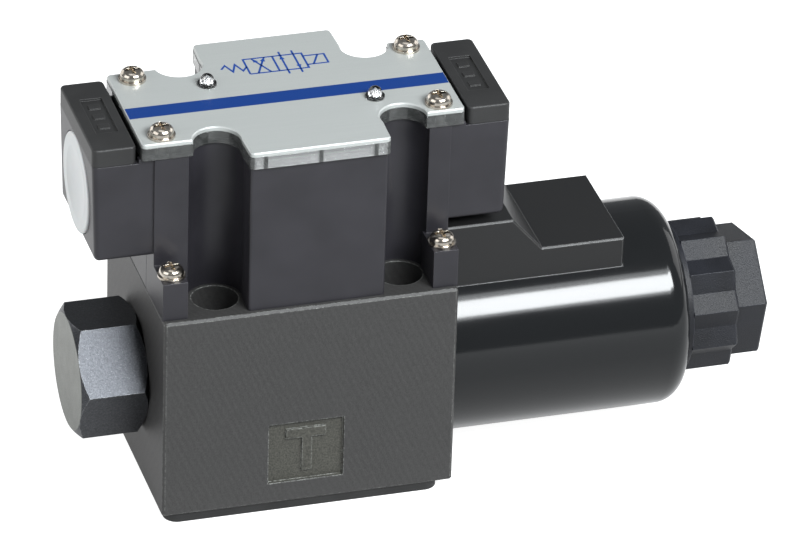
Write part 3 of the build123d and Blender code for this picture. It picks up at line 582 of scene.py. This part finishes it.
def return_spring(material):
    """Round-wire compression spring with a closed coil at each end."""
    lowest, highest = low("return_spring"), high("return_spring")
    start, end = lowest[0] + WIRE_R, highest[0] - WIRE_R
    radius = (highest[2] - lowest[2]) / 2 - WIRE_R
    centre_z = (highest[2] + lowest[2]) / 2
    pitch = (end - start - 2 * DEAD_PITCH) / (SPRING_TURNS - 2)
    bm = bmesh.new()
    rings = []
    for step in range(SPRING_TURNS * SPRING_STEPS + 1):
        turn = step / SPRING_STEPS
        x = start + DEAD_PITCH * min(turn, 1) + pitch * min(max(turn - 1, 0), SPRING_TURNS - 2)
        x += DEAD_PITCH * max(turn - SPRING_TURNS + 1, 0)
        angle = tau * turn
        out = Vector((0, cos(angle), sin(angle)))
        centre = Vector((x, 0, centre_z)) + out * radius
        ring = []
        for side in range(WIRE_SIDES):
            bend = tau * side / WIRE_SIDES
            around = out * cos(bend) + Vector((1, 0, 0)) * sin(bend)
            ring.append(bm.verts.new((centre + around * WIRE_R) * MM))
        rings.append(ring)
    for one, two in zip(rings, rings[1:]):
        for side in range(WIRE_SIDES):
            after = (side + 1) % WIRE_SIDES
            bm.faces.new((one[side], one[after], two[after], two[side]))
    bm.faces.new(rings[0][::-1])
    bm.faces.new(rings[-1])
    spring = piece("return_spring_wire", bm, material, smooth=True)
    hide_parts("return_spring")
    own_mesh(spring)


def extra_pieces():
    """Everything that is modelled here and not in CAD."""
    ink = Surface("symbol_blue", roughness=0.35)
    fleck = ink.noise(4.0, 2.0)
    ink.colour(ink.mix(fleck, *PRINT_BLUE))
    ink.rough(fleck, 0.30, 0.40)
    flow_symbol(ink.material)
    lamp_reflectors(metal("lamp_reflector", (0.75, 0.76, 0.76), (0.95, 0.95, 0.95), (0.05, 0.15), 1.5))
    return_spring(metal("spring_wire", (0.30, 0.31, 0.32), (0.48, 0.49, 0.50), (0.25, 0.4), 1.5))


# ---------------------------------------------------------------- camera, light and floor

# place in millimetres, angles in radians, lens in millimetres
CAMERA_MM = (-353.135, -1238.022, 806.157)
CAMERA_YAW = 0.297525
CAMERA_PITCH = 0.534437
CAMERA_ROLL = 0.0324615
CAMERA_LENS = 316.2

WHITE = (1, 1, 1)
COOL = (0.95, 0.98, 1.0)
COOLER = (0.94, 0.98, 1.0)
# name, direction from the object, distance and size in metres, radiance, colour
SOFT_BOXES = [
    ("strip", (0.30, -0.67, 0.68), 0.95, (0.60, 0.27), 26.0, COOL),
    ("strip_edge", (0.30, -0.66, 0.70), 1.0, (0.60, 0.44), 5.0, COOLER),
    ("left", (-0.85, -0.25, 0.45), 1.2, (0.9, 0.7), 2.0, WHITE),
    ("top", (-0.1, -0.15, 1.0), 1.3, (0.8, 0.5), 1.1, WHITE),
    ("right", (0.95, 0.25, 0.35), 1.3, (0.8, 0.7), 1.6, WHITE),
    ("back", (-0.55, 0.80, 0.30), 1.4, (0.9, 0.7), 1.5, WHITE),
]
LIGHT_AIM = (0.03, 0, 0.04)
WORLD_COLOUR = (0.92, 0.96, 1.0, 1)
WORLD_STRENGTH = 0.26
# metres
FLOOR_HALF = 6.0
FLOOR_DROP = 0.0002
# emission in front of the object and to the camera, and the share of it that shows behind
FLOOR_GLOW = (0.13, 0.95)
FLOOR_BEHIND = 0.95
FLOOR_FADE_MM = 60.0


def camera():
    """A long lens from the front left, above."""
    forward = Vector((
        sin(CAMERA_YAW) * cos(CAMERA_PITCH),
        cos(CAMERA_YAW) * cos(CAMERA_PITCH),
        -sin(CAMERA_PITCH),
    ))
    right = forward.cross(Vector((0, 0, 1))).normalized()
    up = right.cross(forward)
    right_rolled = cos(CAMERA_ROLL) * right + sin(CAMERA_ROLL) * up
    up_rolled = -sin(CAMERA_ROLL) * right + cos(CAMERA_ROLL) * up
    data = bpy.data.cameras.new("camera")
    data.lens = CAMERA_LENS
    data.sensor_width = 36
    data.clip_start = 0.01
    data.clip_end = 100
    obj = bpy.data.objects.new("camera", data)
    turn = Matrix((right_rolled, up_rolled, -forward)).transposed().to_4x4()
    obj.matrix_world = Matrix.Translation(Vector(CAMERA_MM) * MM) @ turn
    bpy.context.scene.collection.objects.link(obj)
    bpy.context.scene.camera = obj


def soft_light(name, direction, distance, size, radiance, colour):
    """A rectangular soft box that faces the object; radiance is what a mirror would show."""
    data = bpy.data.lights.new(name, "AREA")
    data.shape = "RECTANGLE"
    data.size, data.size_y = size
    data.energy = radiance * pi * size[0] * size[1]
    data.color = colour
    obj = bpy.data.objects.new(name, data)
    toward = Vector(direction).normalized()
    obj.location = Vector(LIGHT_AIM) + toward * distance
    obj.rotation_euler = toward.to_track_quat("Z", "Y").to_euler()
    bpy.context.scene.collection.objects.link(obj)


def studio():
    """Dim room, soft boxes all round with a bright strip in front above, and a white floor."""
    world = bpy.data.worlds.new("studio")
    bpy.context.scene.world = world
    world.use_nodes = True
    background = world.node_tree.nodes["Background"]
    background.inputs["Color"].default_value = WORLD_COLOUR
    background.inputs["Strength"].default_value = WORLD_STRENGTH
    for box in SOFT_BOXES:
        soft_light(*box)
    mesh = bpy.data.meshes.new("floor")
    corners = [(x * FLOOR_HALF, y * FLOOR_HALF, 0) for x, y in ((-1, -1), (1, -1), (1, 1), (-1, 1))]
    mesh.from_pydata(corners, [], [(0, 1, 2, 3)])
    floor = bpy.data.objects.new("floor", mesh)
    floor.location.z = -FLOOR_DROP
    bpy.context.scene.collection.objects.link(floor)
    s = Surface("floor_white", roughness=0.9, specular=0.1)
    s.colour(s.mix(s.noise(0.01, 2.0), (0.42, 0.42, 0.42), (0.44, 0.44, 0.44)))
    # white to the camera; in reflections the sweep is brighter behind the object than in front of it
    behind = s.ramp(s.axis("Y"), -FLOOR_FADE_MM, FLOOR_FADE_MM)
    seen = s.new("ShaderNodeLightPath").outputs["Is Camera Ray"]
    glow = s.scaled(s.math("MAXIMUM", s.math("MULTIPLY", behind, FLOOR_BEHIND), seen), *FLOOR_GLOW)
    s.shader.inputs["Emission Color"].default_value = (1, 1, 1, 1)
    s.link(glow, s.shader.inputs["Emission Strength"])
    mesh.materials.append(s.material)


dress()
extra_pieces()
camera()
studio()
bpy.context.scene.view_settings.view_transform = "Standard"
